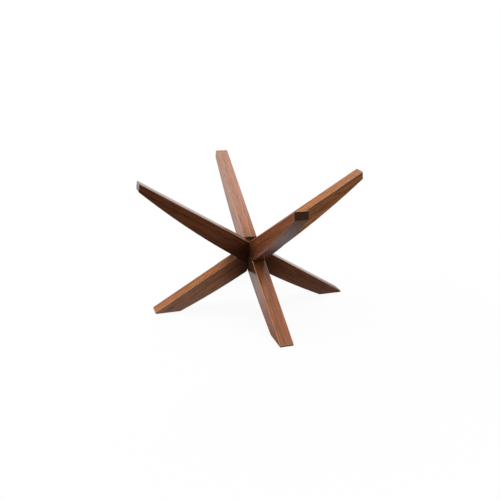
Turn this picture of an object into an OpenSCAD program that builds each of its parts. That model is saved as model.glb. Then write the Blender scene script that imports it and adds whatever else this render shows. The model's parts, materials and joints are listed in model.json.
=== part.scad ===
// Star stand puzzle: four sloping hardwood bars that lock together without glue or fasteners.
// Two bars are half-lapped into a base cross, two more into a saddle cross,
// and the saddle cross drops astride the base cross, slot in slot.
// Millimetres, +Z up, origin on the floor under the crossing.
// The saddle cross stands in the XZ plane and the base cross in the YZ plane.

/* [Star] */
// Height above the floor at which the upper edges of the bars cross
crossing_height = 90; // [75:1:110]
// Level distance from the centre line to the top of each upper tip
tip_reach = 161.5; // [134:0.5:194]
// Slope of the upper edges from level, in degrees
slope = 31.5; // [26:0.5:38]

/* [Bars] */
// Thickness of the board that the bars are sawn from
bar_thickness = 19; // [15:0.5:23]
// Depth of a bar at the crossing, square to its upper edge
bar_depth = 28; // [23:0.5:34]
// Upright height of the end face at each upper tip
tip_height = 11; // [9:0.5:14]
// Lean of that end face from upright, outwards at its lower edge, in degrees
tip_lean = 8; // [0:1:12]
// Length of the flat under each foot
foot_length = 36; // [30:1:44]
// Height of the blunt toe at the outer end of each foot
toe_height = 2; // [1:0.5:4]

/* [Joints] */
// Gap on each flank of the slots in which the crosses pass through each other
slot_clearance = 1; // [0.3:0.1:1.5]
// Gap between the ends of the slots, so that the feet of both crosses reach the floor
seat_clearance = 0.4; // [0.2:0.1:1]
// Gap between the two halves of each half lap
lap_clearance = 0.1; // [0.05:0.05:0.3]

/* [Hidden] */

// How far a cutting shape runs past the surface that it cuts
overrun = 1;
// Facets of the whole belly circle where it is drawn as a polygon
belly_facets = 720;
walnut = "#6b3f2a";

// Corners of a bar that rises towards +X: the first number runs along X, the second along Z
upper_edge_normal = [-sin(slope), cos(slope)];
crossing = [0, crossing_height];
tip_top = [tip_reach, crossing_height + tip_reach * tan(slope)];
tip_bottom = tip_top + tip_height * [tan(tip_lean), -1];
tip_line_at_floor = [tip_top.x + tip_top.y * tan(tip_lean), 0];
toe_top = [(toe_height - crossing_height) / tan(slope), toe_height];
toe_bottom = [toe_top.x, 0];
heel = toe_bottom + [foot_length, 0];
belly_at_crossing = crossing - bar_depth * upper_edge_normal;

// Centre of the circle through three points
function circle_centre(a, b, c) =
    let (
        ab = b - a,
        ac = c - a,
        turn = 2 * (ab.x * ac.y - ab.y * ac.x)
    )
    a + [ac.y * (ab * ab) - ab.y * (ac * ac), ab.x * (ac * ac) - ac.x * (ab * ab)] / turn;

// The belly is one arc, from the heel past the crossing to the lower edge of the tip
belly_centre = circle_centre(heel, belly_at_crossing, tip_bottom);
belly_radius = norm(heel - belly_centre);

// The two bellies of a cross meet under the crossing, and each slot takes half of the height there
crotch_height = belly_centre.y - sqrt(belly_radius ^ 2 - belly_centre.x ^ 2);
slot_end_height = (crossing_height + crotch_height) / 2;
slot_width = bar_thickness + 2 * slot_clearance;
half_thickness = bar_thickness / 2;

// Outline of a bar that rises towards +X; spread moves its upper edge and its belly outwards
module bar_outline(spread = 0) {
    shift = spread * upper_edge_normal;
    intersection() {
        polygon([tip_top + shift, tip_line_at_floor, toe_bottom, toe_top + shift]);
        translate(belly_centre)
            circle(r = belly_radius + spread, $fn = belly_facets);
    }
}

// Stands a flat shape up in the XZ plane and gives it depth along Y
module upright(from_y, to_y) {
    translate([0, to_y, 0])
        rotate([90, 0, 0])
            linear_extrude(to_y - from_y)
                children();
}

// Half lap: the room that the other bar of the cross takes on the -Y half
module lap_pocket() {
    upright(-half_thickness - overrun, lap_clearance / 2)
        mirror([1, 0])
            bar_outline(lap_clearance);
}

// Slot through both bars of a cross, from one height to another
module slot(from_z, to_z) {
    upright(-half_thickness - overrun, half_thickness + overrun)
        translate([-slot_width / 2, from_z])
            square([slot_width, to_z - from_z]);
}

// A bar that rises towards +X, with its half lap cut and its slot, the child, taken out
module lapped_bar() {
    difference() {
        upright(-half_thickness, half_thickness)
            bar_outline();
        lap_pocket();
        children();
    }
}

// The saddle cross has slots that are open downwards
module saddle_bar() {
    lapped_bar()
        slot(0, slot_end_height + seat_clearance / 2);
}

// The base cross has slots that are open upwards
module base_bar() {
    lapped_bar()
        slot(slot_end_height - seat_clearance / 2, tip_top.y);
}

// The two bars of a cross are the same piece, the second turned half round
module saddle_bar_far() {
    color(walnut)
        saddle_bar();
}

module saddle_bar_near() {
    color(walnut)
        rotate([0, 0, 180])
            saddle_bar();
}

module base_bar_left() {
    color(walnut)
        rotate([0, 0, 90])
            base_bar();
}

module base_bar_right() {
    color(walnut)
        rotate([0, 0, 270])
            base_bar();
}

base_bar_left();
base_bar_right();
saddle_bar_near();
saddle_bar_far();
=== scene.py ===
# %% [markdown]
# # A star-shaped stand of four walnut bars
# Two flat bars are halved into each other to make a crossed frame, and two such frames slot together
# to make a star with four feet and four arms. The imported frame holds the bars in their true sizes, so
# this script takes them from it and adds what it lacks: eased arrises, wood, floor, light and camera.

# %% Load the frame and measure it
import json
import math

import bmesh
import bpy
from mathutils import Matrix, Vector
from mathutils.bvhtree import BVHTree


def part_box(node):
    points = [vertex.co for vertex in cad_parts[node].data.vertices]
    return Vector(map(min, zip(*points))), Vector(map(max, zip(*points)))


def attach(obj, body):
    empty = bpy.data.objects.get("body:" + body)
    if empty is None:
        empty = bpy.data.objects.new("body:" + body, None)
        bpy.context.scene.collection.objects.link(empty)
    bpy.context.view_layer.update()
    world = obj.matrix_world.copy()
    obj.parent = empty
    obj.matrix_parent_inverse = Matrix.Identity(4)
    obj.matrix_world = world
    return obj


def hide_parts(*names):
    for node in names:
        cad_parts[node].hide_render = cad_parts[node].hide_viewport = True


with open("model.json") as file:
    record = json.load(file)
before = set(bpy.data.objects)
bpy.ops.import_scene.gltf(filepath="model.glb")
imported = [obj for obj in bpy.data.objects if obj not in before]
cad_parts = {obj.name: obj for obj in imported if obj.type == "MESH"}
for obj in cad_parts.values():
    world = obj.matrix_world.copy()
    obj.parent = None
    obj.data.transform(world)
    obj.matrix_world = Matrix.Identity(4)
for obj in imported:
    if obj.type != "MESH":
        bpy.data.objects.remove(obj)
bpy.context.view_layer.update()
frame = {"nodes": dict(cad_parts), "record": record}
MM = 0.001                              # the scene is in metres
for name in sorted(frame["nodes"]):
    low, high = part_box(name)
    print(name, "measures", [round(side / MM, 1) for side in high - low], "mm")

# %% [markdown]
# ## Camera
# The photograph was taken from the left of the front and a little above, with the picture slightly
# tilted. A camera can be aimed with a constraint, but building its three axes from the angles keeps
# the tilt plain to read. The optical axis passes close by the crossing.

# %% Camera from its angles
CAMERA_TURN = math.radians(-19.88)      # to the left of the front
CAMERA_RISE = math.radians(21.25)       # above the horizon
CAMERA_TILT = math.radians(2.15)        # of the picture about its middle
CAMERA_DISTANCE = 936.5 * MM            # from the aim, on the optical axis
CAMERA_AIM = Vector((-3.3, 1.2, 79.0)) * MM
SENSOR = 36.0                           # millimetres across the square picture
LENS = 46.9                             # millimetres, close to the normal lens of that sensor

back = Vector((
    math.sin(CAMERA_TURN) * math.cos(CAMERA_RISE),
    -math.cos(CAMERA_TURN) * math.cos(CAMERA_RISE),
    math.sin(CAMERA_RISE),
))
level = Vector((math.cos(CAMERA_TURN), math.sin(CAMERA_TURN), 0))
camera_turn = Matrix((level, back.cross(level), back)).transposed()
camera_turn = camera_turn @ Matrix.Rotation(CAMERA_TILT, 3, "Z")

camera_data = bpy.data.cameras.new("camera")
camera_data.sensor_width = SENSOR
camera_data.lens = LENS
camera = bpy.data.objects.new("camera", camera_data)
camera.matrix_world = Matrix.Translation(CAMERA_AIM + back * CAMERA_DISTANCE) @ camera_turn.to_4x4()
bpy.context.scene.collection.objects.link(camera)
bpy.context.scene.camera = camera
print("camera at", [round(x / MM) for x in camera.matrix_world.translation], "mm")

# %% [markdown]
# ## The bars, from the frame's own bars
# Each bar is a straight-topped plank with a bowed belly, a level foot and a cut tip. It could be drawn
# again from its corners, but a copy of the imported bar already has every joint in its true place. The
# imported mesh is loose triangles, so its points are merged, and flat triangles are dissolved into the
# few planed faces that the real bar has.

# %% Merged copies with whole faces
MERGE = 0.002 * MM
FLAT = math.radians(0.4)                # under the step between two facets of the belly

def whole_faced_copy(node):
    mesh = bmesh.new()
    mesh.from_mesh(node.data)
    bmesh.ops.remove_doubles(mesh, verts=mesh.verts, dist=MERGE)
    bmesh.ops.dissolve_limit(mesh, angle_limit=FLAT, verts=mesh.verts, edges=mesh.edges)
    return mesh

bars = {name: whole_faced_copy(node) for name, node in sorted(frame["nodes"].items())}
for name, bar in bars.items():
    print(name, "has", len(bar.faces), "faces and", len(bar.verts), "points")

# %% [markdown]
# The grain of each bar runs along its straight top, which is the longest edge of its mesh. That edge,
# the bar's level side direction and the direction across its depth make the bar's own three axes.
# The angles could be written down instead, but measured axes follow the frame when a size changes.
# They serve twice: to find the joint on the bar, and later to lay the wood grain.

# %% Axes of each bar
UP = Vector((0, 0, 1))

def bar_axes(bar):
    top = max(bar.edges, key=lambda edge: edge.calc_length())
    along = (top.verts[0].co - top.verts[1].co).normalized()
    if along.z < 0:
        along.negate()
    side = UP.cross(along).normalized()
    return Matrix((along, side, along.cross(side)))

axes = {name: bar_axes(bar) for name, bar in bars.items()}
for name, rows in axes.items():
    print(name, "rises at", round(math.degrees(math.asin(rows[0].z)), 2), "degrees")

# %% [markdown]
# ## Eased arrises
# A maker takes the sharpness off every edge that a hand can reach, with a few strokes of fine paper,
# and leaves the edges of the joints and of the level feet crisp. A Bevel modifier rounds by angle
# alone and would round those as well. So the edges are chosen here: each long edge is first cut where
# the joint starts and stops, and an edge is eased only if it is off the floor and clear of other bars.

# %% Cut the long edges where the joint starts and stops
MID_THICKNESS = 2 * MM                  # points this near the middle plane belong to the joint

def cut_at_joint(bar, rows):
    side = rows[1]
    run = side.cross(UP)
    joint = [v.co.dot(run) for v in bar.verts if abs(v.co.dot(side)) < MID_THICKNESS]
    for place in (min(joint), 0, max(joint)):
        everything = bar.verts[:] + bar.edges[:] + bar.faces[:]
        bmesh.ops.bisect_plane(bar, geom=everything, dist=MERGE, plane_co=run * place, plane_no=run)
    return min(joint), max(joint)

for name, bar in bars.items():
    start, stop = cut_at_joint(bar, axes[name])
    print(name, "is halved from", round(start / MM, 1), "to", round(stop / MM, 1), "mm")

# %% Find the edges that nothing touches
TOUCHING = 1.5 * MM                     # wider than the joints' clearances
ARRIS_TURN = math.radians(20)           # a smaller turn is a facet of the belly

def gap(tree, point):
    *_, distance = tree.find_nearest(point)
    return distance

def exposed_edges(bar, neighbours):
    chosen = []
    for edge in bar.edges:
        if len(edge.link_faces) == 2 and edge.calc_face_angle_signed() > ARRIS_TURN:
            middle = (edge.verts[0].co + edge.verts[1].co) / 2
            on_floor = max(vert.co.z for vert in edge.verts) < MERGE
            if not on_floor and all(gap(tree, middle) > TOUCHING for tree in neighbours):
                chosen.append(edge)
    return chosen

eased = {name: bar.faces.layers.float.new("eased") for name, bar in bars.items()}
trees = {name: BVHTree.FromBMesh(bar) for name, bar in bars.items()}
arrises = {
    name: exposed_edges(bar, [tree for other, tree in trees.items() if other != name])
    for name, bar in bars.items()
}
for name, edges in arrises.items():
    print(name, "has", round(sum(edge.calc_length() for edge in edges) / MM), "mm of free edge")

# %% Ease them
EASE = 0.8 * MM
EASE_STEPS = 3

for name, bar in bars.items():
    made = bmesh.ops.bevel(
        bar, geom=arrises[name], offset=EASE, offset_type="OFFSET", affect="EDGES",
        segments=EASE_STEPS, profile=0.5, material=-1, clamp_overlap=False, loop_slide=True,
    )
    for face in made["faces"]:
        face[eased[name]] = 1.0
    print(name, "has", len(made["faces"]), "eased faces of", len(bar.faces))

# %% [markdown]
# ## Shading of the planed faces
# A planed face has to look flat right up to its eased edge. Smooth shading alone would bend the light
# across the whole face, and flat shading would show the steps of the rounding. So every face is
# smooth, the joint edges are marked sharp, and a Weighted Normal modifier lets the wide faces rule.

# %% Make the pieces
SHARP = math.radians(40)
WIDE_FACES_RULE = 100                   # the modifier's greatest weight for wide faces

def piece_from(bar, name):
    for face in bar.faces:
        face.smooth = True
    for edge in bar.edges:
        edge.smooth = len(edge.link_faces) == 2 and edge.calc_face_angle(0) < SHARP
    mesh = bpy.data.meshes.new(name)
    bar.to_mesh(mesh)
    bar.free()
    piece = bpy.data.objects.new(name, mesh)
    bpy.context.scene.collection.objects.link(piece)
    even = piece.modifiers.new("even_shading", "WEIGHTED_NORMAL")
    even.mode = "FACE_AREA"
    even.weight = WIDE_FACES_RULE
    even.keep_sharp = True
    return piece

pieces = {name: piece_from(bar, "eased_" + name) for name, bar in bars.items()}
bodies = frame["record"]["behaviour"]["bodies"]
body_of = {node: body for body, nodes in bodies.items() for node in nodes}
for name, piece in pieces.items():
    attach(piece, body_of[name])
    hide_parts(name)
    print(piece.name, "rides on", body_of[name])

# %% [markdown]
# ## Walnut, planed, stained and lacquered
# Heartwood walnut is brown, with rings, long streaks, fine bundles of fibres and short open pores that
# lie along the grain. It could be painted on each face, but a solid pattern, as if each bar was sawn
# from a trunk of its own, meets by itself at every edge. The rings are a wave, and each other pattern
# is noise drawn out to the size that the feature has in millimetres. The value of a pattern is the
# share that its colour takes.

# %% Node and colour helpers
MIDDLE_GREY = "#808080"

def add_node(tree, kind, inputs, **settings):
    node = tree.nodes.new(kind)
    for setting, value in settings.items():
        setattr(node, setting, value)
    for socket, value in inputs.items():
        if isinstance(value, bpy.types.NodeSocket):
            tree.links.new(value, node.inputs[socket])
        else:
            node.inputs[socket].default_value = value
    return node

# The numbers are those of the sRGB standard, and the last share makes the colour opaque
def linear(hex_colour):
    shares = [int(hex_colour[i:i + 2], 16) / 255 for i in (1, 3, 5)]
    return [s / 12.92 if s <= 0.04045 else ((s + 0.055) / 1.055) ** 2.4 for s in shares] + [1.0]

print("middle grey is", [round(share, 3) for share in linear(MIDDLE_GREY)[:3]], "in linear light")

# %% Streaks, fibres, pores and wear
GRAIN = {       # size, the noise at which the pattern starts and is full, and its share when full
    "streak": (Vector((260, 9, 9)) * MM, 0.3, 0.7, 0.6),
    "fibre": (Vector((120, 2.2, 2.2)) * MM, 0.35, 0.65, 0.6),
    "pore": (Vector((16, 1.1, 1.1)) * MM, 0.52, 0.66, 0.6),     # in truth 0.2 mm wide: drawn coarser
    "wear": (Vector((14, 14, 14)) * MM, 0.2, 0.5, 0.5),         # rubbed places along an edge
}
NOISE_DETAIL = 3.0                      # finer layers of noise in each pattern

def grain_shares(tree, grain):
    shares = {}
    for name, (size, start, full, share) in GRAIN.items():
        scaled = add_node(tree, "ShaderNodeVectorMath", {
            0: grain,
            1: tuple(1 / side for side in size),
        }, operation="MULTIPLY")
        noise = add_node(tree, "ShaderNodeTexNoise", {
            "Vector": scaled.outputs["Vector"],
            "Scale": 1.0,
            "Detail": NOISE_DETAIL,
        })
        shares[name] = add_node(tree, "ShaderNodeMapRange", {
            "Value": noise.outputs["Fac"],
            "From Min": start,
            "From Max": full,
            "To Max": share,
        }).outputs["Result"]
    return shares

print("patterns along the grain:", ", ".join(GRAIN))

# %% Rings
RING_WIDTH = 3.4 * MM
RING_STRETCH = (0.06, 1, 1)             # along the bar the rings run nearly straight
RING_SHARE = 0.3
RING_WANDER = 5.0                       # radians that the rings stray
WANDER_DETAIL = 3.0                     # finer layers of noise in the straying
WANDER_SCALE = 0.3                      # its bends are longer than a ring is wide
WANDER_ROUGHNESS = 0.6                  # strength of its finer layers
WAVE_PERIOD = math.tau / 20             # length of one ring of a Wave texture at scale 1

def ring_share(tree, grain):
    drawn_out = add_node(tree, "ShaderNodeVectorMath", {0: grain, 1: RING_STRETCH}, operation="MULTIPLY")
    rings = add_node(tree, "ShaderNodeTexWave", {
        "Vector": drawn_out.outputs["Vector"],
        "Scale": WAVE_PERIOD / RING_WIDTH,
        "Distortion": RING_WANDER,
        "Detail": WANDER_DETAIL,
        "Detail Scale": WANDER_SCALE,
        "Detail Roughness": WANDER_ROUGHNESS,
    }, wave_type="RINGS", rings_direction="X", wave_profile="SAW")
    return add_node(tree, "ShaderNodeMath", {
        0: rings.outputs["Fac"],
        1: RING_SHARE,
    }, operation="MULTIPLY").outputs["Value"]

print("rings are", round(RING_WIDTH / MM, 1), "mm wide")

# %% [markdown]
# End grain drinks the stain and the lacquer, so the cut tips and the walls of the slots are dark brown
# and a little duller. Hands and bowls rub the upper arrises bare, which leaves a thin tan line. Such
# faces could have materials of their own, but end grain follows from the way that a face points and
# rubbing also from the faces that the easing made, so both are worked out from the normal. The corners
# round the crossing get painted shade: the wood is darkened there, more the nearer it lies to the
# middle of that shade.

# %% End grain, rubbed edges and painted shade in the corners
END_FACING = (0.62, 0.8)                # share of the normal along the grain: start and full end grain
END_SHARE = 0.9
RUBBED_FACING = (0.1, 0.5)              # share of the normal that points up: start and full rubbing
# middle of the painted shade in the corners round the crossing
CORNER_SHADE_MIDDLE = Vector((0, -10, 60)) * MM        # just in front of the crossing, where it is darkest
CORNER_REACH = (58 * MM, 20 * MM)       # distances from it at which the painted shade starts and is full
CORNER_SHARE = 0.75

def measured_share(tree, measure, vector, other, limits, full):
    measured = add_node(tree, "ShaderNodeVectorMath", {0: vector, 1: other}, operation=measure)
    return add_node(tree, "ShaderNodeMapRange", {
        "Value": measured.outputs["Value"],
        "From Min": limits[0],
        "From Max": limits[1],
        "To Max": full,
    }).outputs["Result"]

def end_grain_share(tree, normal, along):
    upper_end = measured_share(tree, "DOT_PRODUCT", normal, along, END_FACING, END_SHARE)
    lower_end = measured_share(tree, "DOT_PRODUCT", normal, -along, END_FACING, END_SHARE)
    either_end = add_node(tree, "ShaderNodeMath", {0: upper_end, 1: lower_end}, operation="MAXIMUM")
    return either_end.outputs["Value"]

def rubbed_share(tree, normal, wear):
    share = add_node(tree, "ShaderNodeAttribute", {}, attribute_name="eased").outputs["Fac"]
    upward = measured_share(tree, "DOT_PRODUCT", normal, UP, RUBBED_FACING, 1.0)
    for factor in (upward, wear):
        less = add_node(tree, "ShaderNodeMath", {0: share, 1: factor}, operation="MULTIPLY")
        share = less.outputs["Value"]
    return share

# painted shade: the wood is darker the nearer it is to the corners of the crossing
def painted_corner_shade_share(tree, place):
    return measured_share(tree, "DISTANCE", place, CORNER_SHADE_MIDDLE, CORNER_REACH, CORNER_SHARE)

print("end grain starts", round(math.degrees(math.acos(END_FACING[0]))), "degrees from the grain")

# %% [markdown]
# The stain goes on before the lacquer, and each part of the wood takes it in its own way. The colours
# could come from one ramp, but laying them over each other, one feature at a time, keeps every colour
# next to the reason for it.

# %% Colour of the stained wood
STAINED_PORE = "#341c0f"                # stain gathers in a pore
CORNER_PAINTED_SHADE = "#251107"                # painted shade in the corners round the crossing
END_GRAIN = "#3a2312"                   # the open ends of the fibres drink more stain
BARE_EDGE = "#c4966b"                   # unstained wood where the finish is rubbed off
MIX_SHARE, MIX_UNDER, MIX_OVER, MIXED = 0, 6, 7, 2      # sockets of a Mix node for colours

def wood_colour(tree, light, dark, shares):
    colour = linear(light)
    tints = {
        "streak": dark,
        "ring": dark,
        "fibre": dark,
        "pore": STAINED_PORE,
        "painted_corner_shade": CORNER_PAINTED_SHADE,
        "end_grain": END_GRAIN,
        "rubbed": BARE_EDGE,
    }
    for layer, tint in tints.items():
        mix = add_node(tree, "ShaderNodeMix", {
            MIX_SHARE: shares[layer],
            MIX_UNDER: colour,
            MIX_OVER: linear(tint),
        }, data_type="RGBA")
        colour = mix.outputs[MIXED]
    return colour

print("end grain is", END_GRAIN, "and a rubbed edge", BARE_EDGE)

# %% [markdown]
# The finish is one thin layer of brushed lacquer, rubbed down to a semi-gloss. It gives the clear but
# soft reflections that the left faces show, and it sinks into the open pores, which stay a little
# rough and hollow. A coat over the base would mirror twice and turn the brown grey, so the base's own
# gloss is the lacquer.

# %% Lacquered walnut
LACQUER_IOR = 1.5                       # of nitrocellulose lacquer
LACQUER_ROUGHNESS = 0.18                # semi-gloss: a lamp mirrors as a soft patch
PORE_ROUGHNESS = 0.1                    # added in a pore
END_ROUGHNESS = 0.12                    # added on end grain
PORE_DEPTH = 0.004 * MM                 # of the dimple that the lacquer leaves over a pore

def lacquer_roughness(tree, shares):
    roughness = LACQUER_ROUGHNESS
    for layer, added in (("pore", PORE_ROUGHNESS), ("end_grain", END_ROUGHNESS)):
        roughness = add_node(tree, "ShaderNodeMath", {
            0: shares[layer],
            1: added,
            2: roughness,
        }, operation="MULTIPLY_ADD").outputs["Value"]
    return roughness

def lacquered_walnut(name, rows, pith, light, dark):
    material = bpy.data.materials.new(name)
    material.use_nodes = True
    tree = material.node_tree
    shader = tree.nodes["Principled BSDF"]
    surface = add_node(tree, "ShaderNodeTexCoord", {}).outputs
    grain = add_node(tree, "ShaderNodeMapping", {
        "Vector": surface["Object"],
        "Location": pith,
        "Rotation": rows.to_euler(),
    }).outputs["Vector"]
    shares = grain_shares(tree, grain)
    shares["ring"] = ring_share(tree, grain)
    shares["end_grain"] = end_grain_share(tree, surface["Normal"], rows[0])
    shares["rubbed"] = rubbed_share(tree, surface["Normal"], shares["wear"])
    # painted shade in the corners round the crossing
    shares["painted_corner_shade"] = painted_corner_shade_share(tree, surface["Object"])
    hollow = add_node(tree, "ShaderNodeMath", {0: 1.0, 1: shares["pore"]}, operation="SUBTRACT")
    bump = add_node(tree, "ShaderNodeBump", {"Height": hollow.outputs["Value"], "Distance": PORE_DEPTH})
    tree.links.new(wood_colour(tree, light, dark, shares), shader.inputs["Base Color"])
    tree.links.new(lacquer_roughness(tree, shares), shader.inputs["Roughness"])
    tree.links.new(bump.outputs["Normal"], shader.inputs["Normal"])
    shader.inputs["IOR"].default_value = LACQUER_IOR
    return material

print("lacquer mirrors", round(100 * ((LACQUER_IOR - 1) / (LACQUER_IOR + 1)) ** 2), "% head on")

# %% [markdown]
# No two boards have the same brown, and no two come from the same place in a trunk. One material could
# serve all four bars, but it would repeat the same streaks on each of them. So every bar has two
# browns of its own and its own distance from the pith, the middle of the rings. The differences between
# the bars' browns are partly the wood's own and partly painted sheen, for the light that each bar's
# fibres throw back in their own direction. Random places were tried, and the one kept is the one whose
# streaks fall most as they do in the photograph.

# %% Lay the grain on each bar
PITHS = {       # from the pith to the frame's origin: along the grain, across the bar, through its depth
    "base_bar_left": Vector((33, 58, -30)) * MM,
    "base_bar_right": Vector((-95, 76, -41)) * MM,
    "saddle_bar_far": Vector((284, -76, -37)) * MM,
    "saddle_bar_near": Vector((-265, 55, 46)) * MM,
}
# each bar's browns are partly its own wood and partly painted sheen that lightens or darkens the whole bar
BROWNS = {      # the light and the dark brown of each bar
    "base_bar_left": ("#db834e", "#834d2a"),
    "base_bar_right": ("#be6f46", "#713f25"),
    "saddle_bar_far": ("#e39561", "#895638"),
    "saddle_bar_near": ("#9d5e3d", "#5d3520"),
}

for name, piece in pieces.items():
    walnut = lacquered_walnut("lacquered_walnut_" + name, axes[name], PITHS[name], *BROWNS[name])
    piece.data.materials.append(walnut)
    print(piece.name, "is", walnut.name)

# %% [markdown]
# ## Floor
# The photograph shows plain white all round. A white floor lit to full white would need lamps that
# bleach the wood. So most of what the camera sees of the floor is white of strength 1, chosen by the
# kind of ray, and a small share near the feet is a matt board that takes the lamps, so the shadow
# stays. Matt means that it mirrors nothing and looks even from all sides.

# %% Board, and the rays that see it
SEEN = ("Is Camera Ray", "Is Transmission Ray")
MIRRORED = "Is Glossy Ray"

def any_ray(tree, *kinds):
    ray = add_node(tree, "ShaderNodeLightPath", {}).outputs
    share = ray[kinds[0]]
    for kind in kinds[1:]:
        either = add_node(tree, "ShaderNodeMath", {0: share, 1: ray[kind]}, operation="MAXIMUM")
        share = either.outputs["Value"]
    return share

board_material = bpy.data.materials.new("matt_board")
board_material.use_nodes = True
board_material.cycles.emission_sampling = "NONE"
board = board_material.node_tree
board.nodes.remove(board.nodes["Principled BSDF"])
spot = add_node(board, "ShaderNodeTexCoord", {}).outputs["Object"]
seen = any_ray(board, *SEEN)
print("floor is seen by", len(SEEN), "kinds of ray and mirrored by one")

# %% [markdown]
# The lacquer mirrors the floor. The near faces are dark in the photograph, so the floor in front of
# them gave little light, and the star shades the floor under itself. Lamps could draw both, but they
# would change the wood as well. So only the reflections see the floor dark at the front right, bright
# at the back left, and dark again in a patch under the star.

# %% What reflections see of the floor
TOWARDS_LIGHT = Vector((-0.5, 0.87, 0))
FLOOR_BRIGHTENS = (-150 * MM, 60 * MM)  # along that direction: black up to the first, white from the second
SHADE_MIDDLE = Vector((45, 52, 0)) * MM
SHADE_FADES = (30 * MM, 75 * MM)        # distances from its middle at which the shade is full and gone

lit_side = measured_share(board, "DOT_PRODUCT", spot, TOWARDS_LIGHT, FLOOR_BRIGHTENS, 1.0)
clear_of_shade = measured_share(board, "DISTANCE", spot, SHADE_MIDDLE, SHADE_FADES, 1.0)
mirrored = add_node(board, "ShaderNodeMath", {0: lit_side, 1: clear_of_shade}, operation="MULTIPLY")
brightness = add_node(board, "ShaderNodeMath", {
    0: seen,
    1: mirrored.outputs["Value"],
}, operation="MAXIMUM")
white = add_node(board, "ShaderNodeEmission", {"Strength": brightness.outputs["Value"]})
brightening = FLOOR_BRIGHTENS[1] - FLOOR_BRIGHTENS[0]
print("reflections see the floor brighten over", round(brightening / MM), "mm")

# %% What the camera sees of the floor
WHITE = "#ffffff"
SHADOW_SHARE = 0.07                     # of the floor's look that the lamps decide, near the feet
SHADOW_FADES = (250 * MM, 600 * MM)     # between these distances from the middle it fades to none

from_middle = add_node(board, "ShaderNodeVectorMath", {0: spot}, operation="LENGTH")
unshaded = add_node(board, "ShaderNodeMapRange", {
    "Value": from_middle.outputs["Value"],
    "From Min": SHADOW_FADES[0],
    "From Max": SHADOW_FADES[1],
    "To Min": 1 - SHADOW_SHARE,
}, interpolation_type="SMOOTHSTEP")
white_share = add_node(board, "ShaderNodeMath", {
    0: any_ray(board, *SEEN, MIRRORED),
    1: unshaded.outputs["Result"],
}, operation="MULTIPLY")
tone = add_node(board, "ShaderNodeMix", {
    MIX_SHARE: seen,
    MIX_UNDER: linear(MIDDLE_GREY),     # so that the floor throws less light back at the wood
    MIX_OVER: linear(WHITE),
}, data_type="RGBA")
paint = add_node(board, "ShaderNodeBsdfDiffuse", {"Color": tone.outputs[MIXED]})
look = add_node(board, "ShaderNodeMixShader", {
    0: white_share.outputs["Value"],
    1: paint.outputs["BSDF"],
    2: white.outputs["Emission"],
})
board.links.new(look.outputs["Shader"], board.nodes["Material Output"].inputs["Surface"])
print("near the feet the lamps decide", round(100 * SHADOW_SHARE), "% of the floor's look")

# %% Floor disc
FLOOR_REACH = 1100 * MM
FLOOR_SIDES = 96                        # enough for a rim that looks round

def staged(name, mesh, material):
    data = bpy.data.meshes.new(name)
    mesh.to_mesh(data)
    mesh.free()
    data.materials.append(material)
    thing = bpy.data.objects.new(name, data)
    bpy.context.scene.collection.objects.link(thing)
    return thing

disc = bmesh.new()
bmesh.ops.create_circle(disc, cap_ends=True, segments=FLOOR_SIDES, radius=FLOOR_REACH)
staged("floor", disc, board_material)
print("floor reaches", FLOOR_REACH / MM, "mm from the middle")

# %% [markdown]
# ## Cards
# Photographers stand matt cards round a glossy thing, out of the picture, to choose what it mirrors.
# The surroundings could be painted dark there instead, but cards are easier to place. The near faces
# are the darkest, so a black card stands on the camera's side. The tops that lean to the left stay a
# clear brown, so a dark grey card stands behind, where they mirror. Its lower edge is raised, because
# the tops that lean to the right mirror the horizon, and in the photograph they are pale. Its upper
# edge stops just above what the right arm mirrors, so that arm's top catches a little of the white
# beyond and turns golden. Both cards are hidden from the camera.

# %% Black card in front and dark grey card behind
CARD_WIDTH = 3000 * MM
CARD_ROUGHNESS = 0.9                    # matt card
CARDS = {       # place along Y, lower edge, upper edge, colour
    "black_card": (-1500 * MM, -200 * MM, 600 * MM, "#101010"),
    "grey_card": (1500 * MM, 350 * MM, 1150 * MM, "#181818"),
}
STAND_UP = Matrix.Rotation(math.radians(90), 3, "X")
HALF_SIDE = 0.5                         # of a sheet whose sides are 1 before it is scaled

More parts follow.
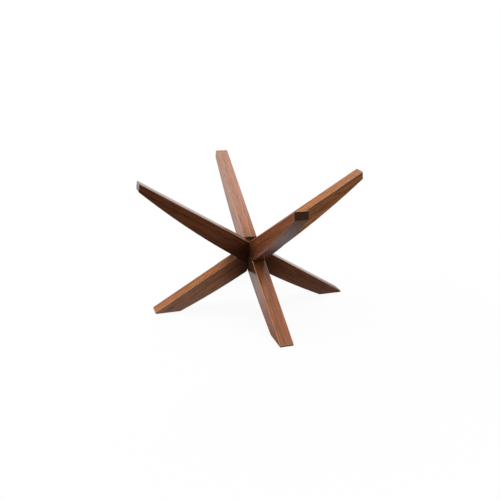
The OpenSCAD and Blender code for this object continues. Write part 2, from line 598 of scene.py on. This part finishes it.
for name, (along, low, high, colour) in CARDS.items():
    sheet = bmesh.new()
    bmesh.ops.create_grid(sheet, x_segments=1, y_segments=1, size=HALF_SIDE)
    bmesh.ops.scale(sheet, vec=(CARD_WIDTH, high - low, 1), verts=sheet.verts)
    bmesh.ops.rotate(sheet, matrix=STAND_UP, verts=sheet.verts)
    bmesh.ops.translate(sheet, vec=(0, along, (low + high) / 2), verts=sheet.verts)
    matt = bpy.data.materials.new("matt_" + name)
    matt.use_nodes = True
    matt_shader = matt.node_tree.nodes["Principled BSDF"]
    matt_shader.inputs["Base Color"].default_value = linear(colour)
    matt_shader.inputs["Roughness"].default_value = CARD_ROUGHNESS
    staged(name, sheet, matt).visible_camera = False
    print(name, "stands", abs(along) / MM, "mm away")

# %% [markdown]
# ## Light
# The tops are bright and the near sides dark, so the main soft box hangs overhead, a little behind. A
# second one lights the left faces. A third, to the right of the camera, keeps the near faces from going
# black, and it hangs so high that the front tip does not mirror it. A sun would be simpler, but its
# shadows are hard. The boxes are wide, because a narrow one is brighter, and its reflection would lie
# on the lacquer like a veil. A weak even light from all round fills the shadows, while the camera and
# the reflections see the surroundings white.

# %% White surroundings and a weak fill
FILL = 0.11                             # strength of the surroundings as a light

world = bpy.data.worlds.new("studio")
bpy.context.scene.world = world
world.use_nodes = True
sky = world.node_tree
fill = sky.nodes["Background"]
fill.inputs["Color"].default_value = linear(WHITE)
fill.inputs["Strength"].default_value = FILL
plain_white = add_node(sky, "ShaderNodeBackground", {"Color": linear(WHITE), "Strength": 1.0})
surroundings = add_node(sky, "ShaderNodeMixShader", {
    0: any_ray(sky, *SEEN, MIRRORED),
    1: fill.outputs["Background"],
    2: plain_white.outputs["Background"],
})
sky.links.new(surroundings.outputs["Shader"], sky.nodes["World Output"].inputs["Surface"])
print("surroundings are white and fill the shadows with", FILL, "of it")

# %% Soft boxes
SOFT_BOXES = {          # place, width and height, watts
    "overhead_box": (Vector((-100, 500, 1200)) * MM, Vector((2600, 900)) * MM, 18),
    "left_box": (Vector((-1200, 700, 600)) * MM, Vector((1500, 1100)) * MM, 10.8),
    "right_box": (Vector((700, -1300, 900)) * MM, Vector((1500, 900)) * MM, 11.2),
}

for name, (place, sides, watts) in SOFT_BOXES.items():
    lamp = bpy.data.lights.new(name, "AREA")
    lamp.shape = "RECTANGLE"
    lamp.size, lamp.size_y = sides
    lamp.energy = watts
    box = bpy.data.objects.new(name, lamp)
    box.location = place
    box.rotation_euler = (CAMERA_AIM - place).to_track_quat("-Z", "Y").to_euler()
    box.visible_camera = False
    bpy.context.scene.collection.objects.link(box)
    print(name, "of", watts, "W hangs", round((place - CAMERA_AIM).length / MM), "mm away")

bpy.context.scene.view_settings.view_transform = "Standard"
